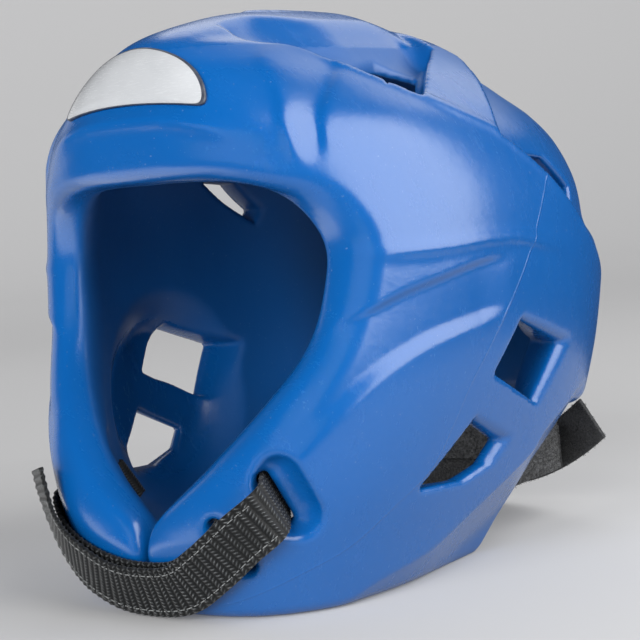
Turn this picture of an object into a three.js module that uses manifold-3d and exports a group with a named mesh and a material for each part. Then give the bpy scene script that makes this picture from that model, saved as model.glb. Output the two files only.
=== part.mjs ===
// Moulded foam head guard with an open face, a bare brow badge, a webbing chin strap and two nape straps.
// Millimetres, +Z up. The guard stands on its lower rim, its face looks along -Y, the wearer's left is +X.
// Places are worked out as (x, forward, z), where forward grows towards the face.
import * as THREE from 'three';
import { mergeVertices } from 'three/addons/utils/BufferGeometryUtils.js';
import Module from 'manifold-3d';

const wasm = await Module();
wasm.setup();

// Forward places of the widest line of the head and of the frame's origin.
const widestForward = -15;
const originForward = -8.9;

// Outer form, one row for each level: reach to the front and rear, half width, squareness of each half.
const outerLevels = [
  { z: 0, front: 101, rear: -98, half: 68, frontPower: 3.0, rearPower: 2.3 },
  { z: 20, front: 108, rear: -110, half: 75, frontPower: 3.0, rearPower: 2.3 },
  { z: 45, front: 112, rear: -122, half: 84, frontPower: 3.0, rearPower: 2.3 },
  { z: 78, front: 110, rear: -129, half: 94, frontPower: 2.8, rearPower: 2.3 },
  { z: 110, front: 106, rear: -132, half: 99.5, frontPower: 2.6, rearPower: 2.3 },
  { z: 128, front: 104, rear: -132.5, half: 100, frontPower: 2.6, rearPower: 2.3 },
  { z: 146, front: 102, rear: -130, half: 98, frontPower: 2.5, rearPower: 2.3 },
  { z: 162, front: 102.5, rear: -124, half: 91.5, frontPower: 2.5, rearPower: 2.3 },
  { z: 174, front: 103, rear: -115, half: 83, frontPower: 2.5, rearPower: 2.3 },
  { z: 184, front: 101, rear: -104, half: 72, frontPower: 2.5, rearPower: 2.3 },
  { z: 194, front: 97, rear: -91, half: 59, frontPower: 2.5, rearPower: 2.3 },
  { z: 203, front: 91, rear: -73, half: 45, frontPower: 2.4, rearPower: 2.2 },
  { z: 209, front: 82, rear: -56, half: 34, frontPower: 2.3, rearPower: 2.1 },
  { z: 214, front: 65, rear: -42, half: 24, frontPower: 2.2, rearPower: 2.0 },
  { z: 218, front: 44, rear: -25, half: 14, frontPower: 2.0, rearPower: 2.0 },
  { z: 220.5, front: widestForward, rear: widestForward, half: 0, frontPower: 2.0, rearPower: 2.0 },
];

// Head hollow, open below the rim. The foam between the two forms is 18 to 20 mm thick.
const hollowLevels = [
  { z: -12, front: 80, rear: -78, half: 47, frontPower: 2.8, rearPower: 2.3 },
  { z: 0, front: 83, rear: -80, half: 50, frontPower: 2.8, rearPower: 2.3 },
  { z: 20, front: 89, rear: -92, half: 57, frontPower: 2.8, rearPower: 2.3 },
  { z: 45, front: 92, rear: -103, half: 65, frontPower: 2.8, rearPower: 2.3 },
  { z: 78, front: 90, rear: -109, half: 75, frontPower: 2.6, rearPower: 2.3 },
  { z: 110, front: 87, rear: -112, half: 80, frontPower: 2.5, rearPower: 2.3 },
  { z: 128, front: 86, rear: -112.5, half: 81, frontPower: 2.5, rearPower: 2.3 },
  { z: 146, front: 84, rear: -110, half: 79, frontPower: 2.4, rearPower: 2.3 },
  { z: 162, front: 82, rear: -103, half: 72, frontPower: 2.4, rearPower: 2.3 },
  { z: 174, front: 78, rear: -93, half: 62, frontPower: 2.4, rearPower: 2.3 },
  { z: 184, front: 70, rear: -80, half: 50, frontPower: 2.3, rearPower: 2.2 },
  { z: 192, front: 58, rear: -64, half: 37, frontPower: 2.2, rearPower: 2.1 },
  { z: 198, front: 40, rear: -46, half: 24, frontPower: 2.0, rearPower: 2.0 },
  { z: 203, front: widestForward, rear: widestForward, half: 0, frontPower: 2.0, rearPower: 2.0 },
];

const ringPoints = 56;
const stepsPerLevel = 2;

// Face opening: the bite that a side view shows, and the inner edge that a front view shows.
const faceBite = [
  { forward: 96, z: 153 },
  { forward: 80, z: 148 },
  { forward: 72, z: 134 },
  { forward: 73, z: 119 },
  { forward: 79, z: 99 },
  { forward: 92, z: 77 },
  { forward: 104, z: 55 },
  { forward: 113, z: 34 },
];
const faceEdge = [
  { x: 23, z: 153 },
  { x: 41.5, z: 151 },
  { x: 54, z: 142 },
  { x: 62, z: 128 },
  { x: 63, z: 117 },
  { x: 58.5, z: 94 },
  { x: 48.5, z: 77 },
  { x: 30, z: 55 },
  { x: 9, z: 33 },
];
const faceReach = 135;
const faceEdgeStart = 35;
const chinSlitHalf = 2;
// The fastened strap draws the opening to the wearer's right, most at the chin.
const openingPull = { chin: 4, brow: 2, chinZ: 50, browZ: 110 };

// Nape opening, seen from the side: the rear edges of the ear flaps and the lower edge of the back.
const napeEdge = [
  { forward: -25, z: 0 },
  { forward: -35, z: 11 },
  { forward: -44, z: 20 },
  { forward: -50, z: 28 },
  { forward: -55, z: 37 },
  { forward: -60, z: 45.5 },
  { forward: -68, z: 53 },
  { forward: -95, z: 54.5 },
  { forward: -145, z: 52 },
];

// Ear vents, seen from the side.
const upperEarVent = [
  { forward: 3, z: 95 },
  { forward: -26, z: 82 },
  { forward: -13, z: 62 },
  { forward: 14, z: 78 },
];
const lowerEarVent = [
  { forward: 26, z: 62 },
  { forward: 3, z: 50 },
  { forward: 10, z: 43 },
  { forward: 26, z: 39 },
  { forward: 47, z: 40 },
];
const ventInside = 40;
const outside = 130;

// Ear hollows: the foam is thinner round the ear vents, inside an oval seen from the side.
const earHollow = { forward: 14, z: 67, long: 44, short: 36, tilt: -35, depth: 11 };

// Side channel: the shallow trough between two lines of a side view, from the cheek to above the ear.
const sideChannel = { depth: 1.7 };
const channelUpper = [
  { forward: 88, z: 91 },
  { forward: 77, z: 103 },
  { forward: 61, z: 111 },
  { forward: 42, z: 116 },
  { forward: 18, z: 119 },
];
const channelLower = [
  { forward: 18, z: 101 },
  { forward: 42, z: 96.5 },
  { forward: 56, z: 92.5 },
  { forward: 72, z: 84 },
  { forward: 88, z: 69 },
];

// Crown: a ridge, seen from the side, with panels sunk inside it, seen from above on the left.
const crownRidge = [
  { forward: -140, z: 112 },
  { forward: -90, z: 117 },
  { forward: -50, z: 132 },
  { forward: -23, z: 152 },
  { forward: -6, z: 165.5 },
  { forward: 12, z: 175 },
  { forward: 24, z: 183 },
  { forward: 39, z: 194 },
  { forward: 48, z: 202 },
  { forward: 60, z: 205.5 },
  { forward: 90, z: 207 },
];
const frontPocket = [
  { x: 34, forward: 58 },
  { x: 60, forward: 60 },
  { x: 92, forward: 40 },
  { x: 74, forward: 25 },
  { x: 60, forward: 1 },
  { x: 45, forward: -26 },
  { x: 27, forward: -29 },
  { x: 24, forward: -10 },
  { x: 22, forward: 15 },
  { x: 17, forward: 40 },
  { x: 17, forward: 60 },
];
const crossBand = [
  { x: 14, forward: -50 },
  { x: 14, forward: -36 },
  { x: 30, forward: -22 },
  { x: 50, forward: -6 },
  { x: 66, forward: 26 },
  { x: 80, forward: 60 },
  { x: 112, forward: 30 },
  { x: 104, forward: 4 },
  { x: 80, forward: -36 },
  { x: 50, forward: -50 },
];
const rearDome = [
  { x: 14, forward: -44 },
  { x: 50, forward: -42 },
  { x: 69, forward: -27 },
  { x: 89, forward: -6 },
  { x: 110, forward: 16 },
  { x: 120, forward: -150 },
  { x: 14, forward: -150 },
];
const crownPanels = [
  { outline: frontPocket, depth: 11 },
  { outline: crossBand, depth: 3 },
  { outline: rearDome, depth: 7.5 },
];
const crownFloorStart = 120;
const crownFloorRise = 80;
const frontCrownVent = [
  { x: 40, forward: 26 },
  { x: 66, forward: 32 },
  { x: 61, forward: 8 },
  { x: 47, forward: -14 },
  { x: 38, forward: 0 },
];
const frontCrownVentStart = 160;
const rearCrownVent = [
  { forward: -23, z: 157 },
  { forward: -40, z: 146.5 },
  { forward: -57, z: 137 },
  { forward: -60, z: 142.5 },
  { forward: -43, z: 155 },
];

// Brow badge: an arch that follows the brow.
const badge = { half: 34, bottom: 181, rise: 3, top: 204, lift: 0.45, thickness: 1.4, power: 1.8 };

// Chin strap: places along the cheeks (x, z), distance off the outer face, and lean of its width.
const strapWidth = 20;
const strapThickness = 2;
const strapSlot = { length: 24, width: 5.2, depth: 70 };
const slotPlaces = [
  { x: -64, z: 34, lean: 38 },
  { x: 36, z: 27.5, lean: -33 },
  { x: 53.5, z: 42.5, lean: -25 },
];
const chinStrapRoute = [
  { x: -66.4, z: 36, off: -27.4, lean: 38 },
  { x: -64.9, z: 34.7, off: -25.8, lean: 38 },
  { x: -64.05, z: 34.05, off: -21, lean: 38 },
  { x: -64, z: 34, off: -6, lean: 38 },
  { x: -63.7, z: 33.8, off: 0.2, lean: 38 },
  { x: -61, z: 32, off: 1.8, lean: 37 },
  { x: -52, z: 26.4, off: 1.8, lean: 33 },
  { x: -40, z: 20.6, off: 1.8, lean: 26 },
  { x: -18, z: 14.2, off: 1.8, lean: 13 },
  { x: 0, z: 12.6, off: 1.8, lean: 0 },
  { x: 16, z: 14.5, off: 1.8, lean: -16 },
  { x: 26, z: 20, off: 1.8, lean: -27 },
  { x: 32.5, z: 24.8, off: 1.8, lean: -33 },
  { x: 35.6, z: 27.2, off: 0.2, lean: -33 },
  { x: 36, z: 27.5, off: -6, lean: -33 },
  { x: 36, z: 27.5, off: -18, lean: -33 },
  { x: 37.4, z: 28.9, off: -25.6, lean: -32 },
  { x: 45, z: 35.2, off: -28, lean: -29 },
  { x: 52.2, z: 41.3, off: -25.8, lean: -26 },
  { x: 53.5, z: 42.5, off: -18, lean: -25 },
  { x: 53.5, z: 42.5, off: -6, lean: -25 },
  { x: 53.2, z: 42.2, off: 1, lean: -25 },
  { x: 50.5, z: 40, off: 4.6, lean: -27 },
  { x: 42, z: 33, off: 5, lean: -31 },
  { x: 30, z: 22.8, off: 4.8, lean: -29 },
  { x: 16, z: 14.2, off: 4.8, lean: -16 },
  { x: 0, z: 11.9, off: 4.8, lean: 0 },
  { x: -16, z: 13, off: 4.9, lean: 14 },
  { x: -30, z: 18.5, off: 5.2, lean: 28 },
  { x: -41, z: 25.5, off: 5.4, lean: 42 },
  { x: -48, z: 35, off: 5.8, lean: 58 },
  { x: -51, z: 46, off: 6.2, lean: 72 },
  { x: -52.5, z: 53, off: 6.6, lean: 80 },
];
const strapSteps = 96;

// Nape straps: centre lines from the flap's inner face to the free end, and the lean of their width from
// upright towards +X.
const napeStrapWidth = 20;
const napeRouteLeft = [
  { x: 55.8, forward: -8, z: 22, lean: 18 },
  { x: 56.2, forward: -20, z: 23.5, lean: 18 },
  { x: 55.7, forward: -34, z: 26, lean: 17 },
  { x: 54.2, forward: -47, z: 29, lean: 14 },
  { x: 56, forward: -65, z: 31.5, lean: 8 },
  { x: 57, forward: -82, z: 32.5, lean: 2 },
  { x: 51, forward: -96, z: 32, lean: -4 },
  { x: 38, forward: -105, z: 31, lean: -4 },
  { x: 20, forward: -112.3, z: 30, lean: 0 },
  { x: 0, forward: -115.8, z: 30, lean: 0 },
  { x: -22, forward: -114, z: 30, lean: 0 },
];
const napeRouteRight = [
  { x: -55.8, forward: -8, z: 22, lean: -18 },
  { x: -56.2, forward: -20, z: 23.5, lean: -18 },
  { x: -55.7, forward: -34, z: 25, lean: -17 },
  { x: -53.8, forward: -47, z: 25, lean: -14 },
  { x: -55, forward: -65, z: 23.5, lean: -6 },
  { x: -60, forward: -84, z: 21, lean: 0 },
  { x: -55, forward: -102, z: 18.5, lean: 0 },
  { x: -32, forward: -115, z: 17, lean: 0 },
  { x: 0, forward: -118.5, z: 17.5, lean: 0 },
  { x: 22, forward: -115.5, z: 20.5, lean: -6 },
  { x: 40, forward: -110, z: 27, lean: -18 },
  { x: 55, forward: -105.5, z: 35, lean: -28 },
  { x: 66, forward: -102.5, z: 42.5, lean: -32 },
];
const napeSteps = 30;

const foam = new THREE.MeshStandardMaterial({ color: 0x0f5db8, roughness: 0.35, metalness: 0 });
const badgeFace = new THREE.MeshStandardMaterial({ color: 0xd8dade, roughness: 0.25, metalness: 0 });
const webbing = new THREE.MeshStandardMaterial({ color: 0x2b2c2f, roughness: 0.85, metalness: 0 });
const hookAndLoop = new THREE.MeshStandardMaterial({ color: 0x333437, roughness: 0.95, metalness: 0 });

const place = (x, forward, z) => new THREE.Vector3(x, originForward - forward, z);

// Smooth value of each column at a place along the rows, counted in rows.
function levelAt(levels, row) {
  const index = Math.min(Math.floor(row), levels.length - 2);
  const t = row - index;
  const before = levels[Math.max(index - 1, 0)];
  const start = levels[index];
  const end = levels[index + 1];
  const after = levels[Math.min(index + 2, levels.length - 1)];
  const level = {};
  for (const column of Object.keys(start)) {
    const bend = -t * (1 - t) / 2;
    const pull = (before[column] - start[column]) * (1 - t) + (after[column] - end[column]) * t;
    const straight = start[column] * (1 - t) + end[column] * t;
    const lean = (end[column] - start[column]) * (1 - 2 * t);
    level[column] = straight + bend * (pull + lean);
  }
  level.half = Math.max(level.half, 0);
  return level;
}

function levelAtHeight(levels, z) {
  const last = levels.findIndex((level) => level.z > z);
  const index = Math.max(last - 1, 0);
  let low = index;
  let high = index + 1;
  for (let turn = 0; turn < 30; turn += 1) {
    const middle = (low + high) / 2;
    if (levelAt(levels, middle).z < z) {
      low = middle;
    } else {
      high = middle;
    }
  }
  return levelAt(levels, (low + high) / 2);
}

// Closed ring of one level, as a superellipse whose front and rear halves differ.
function ringOf(level) {
  const ring = [];
  for (let i = 0; i < ringPoints; i += 1) {
    const angle = (2 * Math.PI * i) / ringPoints;
    const along = Math.cos(angle);
    const across = Math.sin(angle);
    const power = 2 / (along >= 0 ? level.frontPower : level.rearPower);
    const reach = along >= 0 ? level.front - widestForward : widestForward - level.rear;
    const x = level.half * Math.sign(across) * Math.abs(across) ** power;
    const forward = widestForward + reach * Math.sign(along) * Math.abs(along) ** power;
    ring.push(place(x, forward, level.z));
  }
  return ring;
}

function meshFrom(points, triangles) {
  const geometry = new THREE.BufferGeometry();
  const places = points.flatMap((p) => [p.x, p.y, p.z]);
  geometry.setAttribute('position', new THREE.Float32BufferAttribute(places, 3));
  geometry.setIndex(triangles);
  return geometry;
}

// Solid through rings of equal length, with a fan over its first and last ring.
function skin(rings) {
  const count = rings[0].length;
  const points = rings.flat();
  const triangles = [];
  for (let r = 0; r + 1 < rings.length; r += 1) {
    for (let i = 0; i < count; i += 1) {
      const a = r * count + i;
      const b = r * count + ((i + 1) % count);
      triangles.push(a, b, b + count, a, b + count, a + count);
    }
  }
  for (const [ring, start, turn] of [[rings[0], 0, 1], [rings.at(-1), points.length - count, -1]]) {
    const centre = ring.reduce((sum, p) => sum.add(p), new THREE.Vector3()).divideScalar(count);
    const hub = points.push(centre) - 1;
    for (let i = 0; i < count; i += 1) {
      const pair = [start + i, start + ((i + 1) % count)];
      triangles.push(hub, pair[turn > 0 ? 1 : 0], pair[turn > 0 ? 0 : 1]);
    }
  }
  return meshFrom(points, triangles);
}

// Form of a whole table; its last row is the top point.
function loft(levels) {
  const rows = (levels.length - 1) * stepsPerLevel;
  const rings = [];
  for (let r = 0; r < rows; r += 1) {
    rings.push(ringOf(levelAt(levels, r / stepsPerLevel)));
  }
  const geometry = skin(rings);
  const hub = geometry.getAttribute('position').count - 1;
  geometry.getAttribute('position').setZ(hub, levels.at(-1).z);
  return geometry;
}

function solidOf(geometry) {
  const bare = geometry.clone();
  bare.deleteAttribute('normal');
  bare.deleteAttribute('uv');
  const merged = mergeVertices(bare, 1e-4);
  const vertProperties = new Float32Array(merged.getAttribute('position').array);
  const triVerts = new Uint32Array(merged.getIndex().array);
  return new wasm.Manifold(new wasm.Mesh({ numProp: 3, vertProperties, triVerts }));
}

function geometryOf(solid) {
  const mesh = solid.getMesh();
  const geometry = new THREE.BufferGeometry();
  geometry.setAttribute('position', new THREE.Float32BufferAttribute(mesh.vertProperties, 3));
  geometry.setIndex(new THREE.Uint32BufferAttribute(mesh.triVerts, 1));
  geometry.computeVertexNormals();
  return geometry;
}

// Prism of an outline in the side view (forward, z), between two x places.
function sidePrism(outline, fromX, toX) {
  const shape = new THREE.Shape(outline.map((p) => new THREE.Vector2(p.forward, p.z)));
  const geometry = new THREE.ExtrudeGeometry(shape, { depth: toX - fromX, bevelEnabled: false });
  const turn = new THREE.Matrix4().makeBasis(
    new THREE.Vector3(0, -1, 0), new THREE.Vector3(0, 0, 1), new THREE.Vector3(-1, 0, 0));
  turn.setPosition(toX, originForward, 0);
  return solidOf(geometry.applyMatrix4(turn));
}

// Prism of an outline in the front view (x, z), between two forward places.
function frontPrism(outline, fromForward, toForward) {
  const shape = new THREE.Shape(outline.map((p) => new THREE.Vector2(p.x, p.z)));
  const geometry = new THREE.ExtrudeGeometry(shape, { depth: toForward - fromForward, bevelEnabled: false });
  const turn = new THREE.Matrix4().makeBasis(
    new THREE.Vector3(1, 0, 0), new THREE.Vector3(0, 0, 1), new THREE.Vector3(0, -1, 0));
  turn.setPosition(0, originForward - fromForward, 0);
  return solidOf(geometry.applyMatrix4(turn));
}

// Prism of an outline in the view from above (x, forward) on one side, from a level upwards.
function planPrism(outline, side, fromZ) {
  const shape = new THREE.Shape(outline.map((p) => new THREE.Vector2(side * p.x, originForward - p.forward)));
  const geometry = new THREE.ExtrudeGeometry(shape, { depth: outside, bevelEnabled: false });
  return solidOf(geometry.translate(0, 0, fromZ));
}

// The outline on one side of the guard: as drawn on the left, mirrored on the right.
function sideCut(outline, inner, side) {
  return side > 0 ? sidePrism(outline, inner, outside) : sidePrism(outline, -outside, -inner);
}

function smooth(points, columns, count) {
  const curve = new THREE.CatmullRomCurve3(
    points.map((p) => new THREE.Vector3(p[columns[0]], p[columns[1]], 0)), false, 'centripetal');
  return curve.getPoints(count).map((p) => ({ [columns[0]]: p.x, [columns[1]]: p.y }));
}

function pulled(p, side) {
  const share = THREE.MathUtils.smoothstep(p.z, openingPull.chinZ, openingPull.browZ);
  return { x: side * p.x - THREE.MathUtils.lerp(openingPull.chin, openingPull.brow, share), z: p.z };
}

function faceOpening() {
  const bite = smooth(faceBite, ['forward', 'z'], 28);
  bite.unshift({ forward: faceReach, z: faceBite[0].z });
  bite.push({ forward: faceReach, z: faceBite.at(-1).z });
  const left = smooth(faceEdge, ['x', 'z'], 32);
  left.push({ x: chinSlitHalf, z: left.at(-1).z - 4 });
  const edge = [...left.map((p) => pulled(p, 1)), ...left.toReversed().map((p) => pulled(p, -1))];
  const foot = { x: chinSlitHalf, z: -10 };
  const top = { x: chinSlitHalf, z: left.at(-1).z + 2 };
  const slit = [pulled(foot, -1), pulled(foot, 1), pulled(top, 1), pulled(top, -1)];
  return sidePrism(bite, -outside, outside)
    .add(frontPrism(edge, faceEdgeStart, faceReach))
    .add(frontPrism(slit, faceEdgeStart, faceReach));
}

function napeOpening() {
  const below = { forward: napeEdge.at(-1).forward, z: -20 };
  return sidePrism([...napeEdge, below, { forward: napeEdge[0].forward, z: -20 }], -outside, outside);
}

// The oval of an ear hollow, as deep as the head hollow grown by its depth.
function earHollowCut(side) {
  const oval = new THREE.EllipseCurve(
    earHollow.forward, earHollow.z, earHollow.long, earHollow.short,
    0, 2 * Math.PI, false, THREE.MathUtils.degToRad(earHollow.tilt));
  const outline = oval.getPoints(32).slice(1).map((p) => ({ forward: p.x, z: p.y }));
  const grown = hollowLevels.map((level) => ({
    ...level,
    half: level.half + Math.min(earHollow.depth, level.half),
  }));
  return sideCut(outline, ventInside, side).intersect(solidOf(loft(grown)));
}

// Outer form shrunk by the depth of a sunk panel; the crown comes down by as much.
function sunkForm(depth) {
  return solidOf(loft(outerLevels.map((level) => {
    const rise = THREE.MathUtils.clamp((level.z - crownFloorStart) / crownFloorRise, 0, 1);
    return {
      ...level,
      z: level.z - depth * rise,
      front: Math.max(level.front - depth, widestForward),
      rear: Math.min(level.rear + depth, widestForward),
      half: Math.max(level.half - depth, 0),
    };
  })));
}

function crownPanelCut(panel, side) {
  const inside = [
    ...crownRidge,
    { forward: crownRidge.at(-1).forward, z: outside * 2 },
    { forward: crownRidge[0].forward, z: outside * 2 },
  ];
  return planPrism(panel.outline, side, crownFloorStart)
    .intersect(sideCut(inside, 0, side))
    .subtract(sunkForm(panel.depth));
}

function sideChannelCut(side) {
  const outline = [...channelUpper, ...channelLower];
  return sideCut(outline, ventInside, side).subtract(sunkForm(sideChannel.depth));
}

// Forward place of the outer face at (x, z), and its outward direction there.
function outerForward(x, z) {
  const level = levelAtHeight(outerLevels, z);
  const share = 1 - (Math.abs(x) / level.half) ** level.frontPower;
  return widestForward + (level.front - widestForward) * share ** (1 / level.frontPower);
}

function outerFrame(x, z) {
  const step = 0.5;
  const slopeX = (outerForward(x + step, z) - outerForward(x - step, z)) / (2 * step);
  const slopeZ = (outerForward(x, z + step) - outerForward(x, z - step)) / (2 * step);
  const out = new THREE.Vector3(-slopeX, -1, -slopeZ).normalize();
  const side = new THREE.Vector3(1, -slopeX, 0).normalize();
  const up = new THREE.Vector3().crossVectors(side, out).normalize();
  if (up.z < 0) {
    up.negate();
  }
  return { at: place(x, outerForward(x, z), z), out, side, up };
}

// Direction of a strap's width on the outer face, leaning from upright towards +X.
function acrossAt(frame, lean) {
  const angle = THREE.MathUtils.degToRad(lean);
  return frame.up.clone().multiplyScalar(Math.cos(angle)).addScaledVector(frame.side, Math.sin(angle));
}

function slotCut(slot) {
  const frame = outerFrame(slot.x, slot.z);
  const across = acrossAt(frame, slot.lean);
  const thin = new THREE.Vector3().crossVectors(across, frame.out);
  const turn = new THREE.Matrix4().makeBasis(across, frame.out, thin).setPosition(frame.at);
  const box = new THREE.BoxGeometry(strapSlot.length, strapSlot.depth, strapSlot.width);
  return solidOf(box.applyMatrix4(turn));
}

function makeShell() {
  let shell = solidOf(loft(outerLevels)).subtract(solidOf(loft(hollowLevels)));
  shell = shell.subtract(faceOpening()).subtract(napeOpening());
  for (const side of [1, -1]) {
    for (const panel of crownPanels) {
      shell = shell.subtract(crownPanelCut(panel, side));
    }
    shell = shell
      .subtract(planPrism(frontCrownVent, side, frontCrownVentStart))
      .subtract(sideChannelCut(side))
      .subtract(earHollowCut(side));
    for (const vent of [upperEarVent, lowerEarVent, rearCrownVent]) {
      shell = shell.subtract(sideCut(vent, ventInside, side));
    }
  }
  for (const slot of slotPlaces) {
    shell = shell.subtract(slotCut(slot));
  }
  return geometryOf(shell);
}

// Badge: the layer just outside the outer form, cut to the arch.
function makeBadge() {
  const grown = (by) => solidOf(loft(outerLevels.map((level) => ({
    ...level,
    front: level.front + by,
    half: level.half + by,
  }))));
  const arch = [];
  const archSteps = 24;
  for (let i = 0; i <= archSteps; i += 1) {
    const angle = (Math.PI * i) / archSteps;
    const x = badge.half * Math.sign(Math.cos(angle)) * Math.abs(Math.cos(angle)) ** (2 / badge.power);
    const z = badge.bottom + (badge.top - badge.bottom) * Math.sin(angle) ** (2 / badge.power);
    arch.push({ x, z });
  }
  for (let i = 1; i < archSteps; i += 1) {
    const x = -badge.half + (2 * badge.half * i) / archSteps;
    arch.push({ x, z: badge.bottom + badge.rise * (1 - (x / badge.half) ** 2) });
  }
  const layer = grown(badge.lift + badge.thickness).subtract(grown(badge.lift));
  return geometryOf(layer.intersect(frontPrism(arch, 0, faceReach)));
}

// Flat band along a route: each station has its place and the direction of the band's width.
function band(stations, width, thickness) {
  const curve = new THREE.CatmullRomCurve3(stations.map((s) => s.at), false, 'centripetal');
  const steps = stations.steps;
  const rings = [];
  for (let i = 0; i <= steps; i += 1) {
    const t = i / steps;
    const row = t * (stations.length - 1);
    const index = Math.min(Math.floor(row), stations.length - 2);
    const along = curve.getTangent(t);
    const across = stations[index].across.clone().lerp(stations[index + 1].across, row - index);
    across.addScaledVector(along, -across.dot(along)).normalize();
    const thin = new THREE.Vector3().crossVectors(along, across);
    const centre = curve.getPoint(t);
    rings.push([[1, 1], [-1, 1], [-1, -1], [1, -1]].map(([a, n]) => centre.clone()
      .addScaledVector(across, a * width / 2)
      .addScaledVector(thin, n * thickness / 2)));
  }
  return skin(rings);
}

function makeChinStrap() {
  const stations = chinStrapRoute.map((row) => {
    const frame = outerFrame(row.x, row.z);
    return { at: frame.at.addScaledVector(frame.out, row.off), across: acrossAt(frame, row.lean) };
  });
  stations.steps = strapSteps;
  return band(stations, strapWidth, strapThickness);
}

function makeNapeStrap(route) {
  const stations = route.map((row) => {
    const lean = THREE.MathUtils.degToRad(row.lean);
    const across = new THREE.Vector3(Math.sin(lean), 0, Math.cos(lean));
    return { at: place(row.x, row.forward, row.z), across };
  });
  stations.steps = napeSteps;
  return band(stations, napeStrapWidth, strapThickness);
}

const headGuard = new THREE.Group();

function addPiece(name, geometry, material) {
  const piece = new THREE.Mesh(geometry, material);
  piece.name = name;
  headGuard.add(piece);
}

addPiece('shell', makeShell(), foam);
addPiece('forehead_badge', makeBadge(), badgeFace);
addPiece('chin_strap', makeChinStrap(), webbing);
addPiece('nape_strap_left', makeNapeStrap(napeRouteLeft), hookAndLoop);
addPiece('nape_strap_right', makeNapeStrap(napeRouteRight), hookAndLoop);

export default headGuard;
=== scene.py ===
import math
import bpy
import numpy as np
from mathutils import Matrix, Vector


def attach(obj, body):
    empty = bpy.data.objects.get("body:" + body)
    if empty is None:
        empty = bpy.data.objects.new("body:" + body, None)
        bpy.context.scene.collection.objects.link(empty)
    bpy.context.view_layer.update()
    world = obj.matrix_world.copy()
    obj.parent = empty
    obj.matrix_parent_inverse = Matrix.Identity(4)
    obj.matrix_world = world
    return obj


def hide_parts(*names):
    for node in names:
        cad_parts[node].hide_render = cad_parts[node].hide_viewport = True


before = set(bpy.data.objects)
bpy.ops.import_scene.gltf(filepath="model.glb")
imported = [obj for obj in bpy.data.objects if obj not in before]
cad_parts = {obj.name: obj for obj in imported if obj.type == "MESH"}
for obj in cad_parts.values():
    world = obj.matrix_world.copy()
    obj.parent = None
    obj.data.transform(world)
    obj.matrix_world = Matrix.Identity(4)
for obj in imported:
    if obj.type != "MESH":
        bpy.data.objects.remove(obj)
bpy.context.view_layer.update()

# Forms are worked out in millimetres as (x, forward, z); forward grows towards the face.
widestForward = -15.0
originForward = -8.9


def toWorld(points):
    points = np.asarray(points, float).reshape(-1, 3)
    return np.stack([points[:, 0], originForward - points[:, 1], points[:, 2]], 1) * 0.001


def catmull(values, t):
    values = np.asarray(values, float)
    last = len(values) - 1
    i = np.clip(np.floor(t).astype(int), 0, last - 1)
    u = t - i
    before, start, end, after = (values[np.clip(i + k, 0, last)] for k in (-1, 0, 1, 2))
    if values.ndim > 1:
        u = u[:, None]
    return 0.5 * (2 * start + (end - before) * u + (2 * before - 5 * start + 4 * end - after) * u * u
                  + (3 * start - before - 3 * end + after) * u ** 3)


def ease(value, low, high):
    t = np.clip((value - low) / (high - low), 0, 1)
    return t * t * (3 - 2 * t)


def roundMax(a, b, radius):
    return np.minimum(np.maximum(a, b), -radius) + np.hypot(np.maximum(a + radius, 0), np.maximum(b + radius, 0))


def softMax(a, b, width):
    h = np.maximum(width - np.abs(a - b), 0) / width
    return np.maximum(a, b) + h * h * width * 0.25


levelColumns = ("z", "front", "rear", "half", "frontPower", "rearPower")
outerLevels = [
    (-6, 98, -94, 66, 3.0, 2.3),
    (0, 101, -98, 68, 3.0, 2.3),
    (20, 108, -110, 75, 3.0, 2.3),
    (45, 112, -122, 84, 3.0, 2.3),
    (78, 110, -129, 94, 2.8, 2.3),
    (110, 106, -132, 99.5, 2.6, 2.3),
    (128, 104, -132.5, 100, 2.6, 2.3),
    (146, 102, -130, 98, 2.5, 2.3),
    (162, 102.5, -124, 91.5, 2.5, 2.3),
    (174, 103, -115, 83, 2.5, 2.3),
    (184, 101, -104, 72, 2.5, 2.3),
    (194, 97, -91, 59, 2.5, 2.3),
    (203, 91, -73, 45, 2.4, 2.2),
    (209, 82, -56, 34, 2.3, 2.1),
    (214, 65, -42, 24, 2.2, 2.0),
    (218, 44, -27, 14, 2.0, 2.0),
    (219.8, 22, -20, 7, 2.0, 2.0),
    (220.5, -13, -17, 1, 2.0, 2.0),
]
hollowLevels = [
    (-12, 80, -78, 47, 2.8, 2.3),
    (0, 83, -80, 50, 2.8, 2.3),
    (20, 89, -92, 57, 2.8, 2.3),
    (45, 92, -103, 65, 2.8, 2.3),
    (78, 90, -109, 75, 2.6, 2.3),
    (110, 87, -112, 80, 2.5, 2.3),
    (128, 86, -112.5, 81, 2.5, 2.3),
    (146, 84, -110, 79, 2.4, 2.3),
    (162, 82, -103, 72, 2.4, 2.3),
    (174, 78, -93, 62, 2.4, 2.3),
    (184, 70, -80, 50, 2.3, 2.2),
    (192, 58, -64, 37, 2.2, 2.1),
    (198, 40, -46, 24, 2.0, 2.0),
    (201.5, 14, -28, 12, 2.0, 2.0),
    (203, -13, -17, 1, 2.0, 2.0),
]


def levelCurves(levels):
    rows = np.linspace(0, len(levels) - 1, 40 * len(levels))
    return [catmull([row[c] for row in levels], rows) for c in range(len(levelColumns))]


outerCurves = levelCurves(outerLevels)
hollowCurves = levelCurves(hollowLevels)


def ovalRatio(curves, x, f, z):
    front, rear, half, frontPower, rearPower = (np.interp(z, curves[0], curves[c]) for c in range(1, 6))
    along = f - widestForward
    ahead = along >= 0
    reach = np.where(ahead, front - widestForward, widestForward - rear)
    power = np.where(ahead, frontPower, rearPower)
    total = (np.abs(x) / np.maximum(half, 0.8)) ** power + (np.abs(along) / np.maximum(reach, 0.8)) ** power
    return total ** (1 / power)


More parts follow.
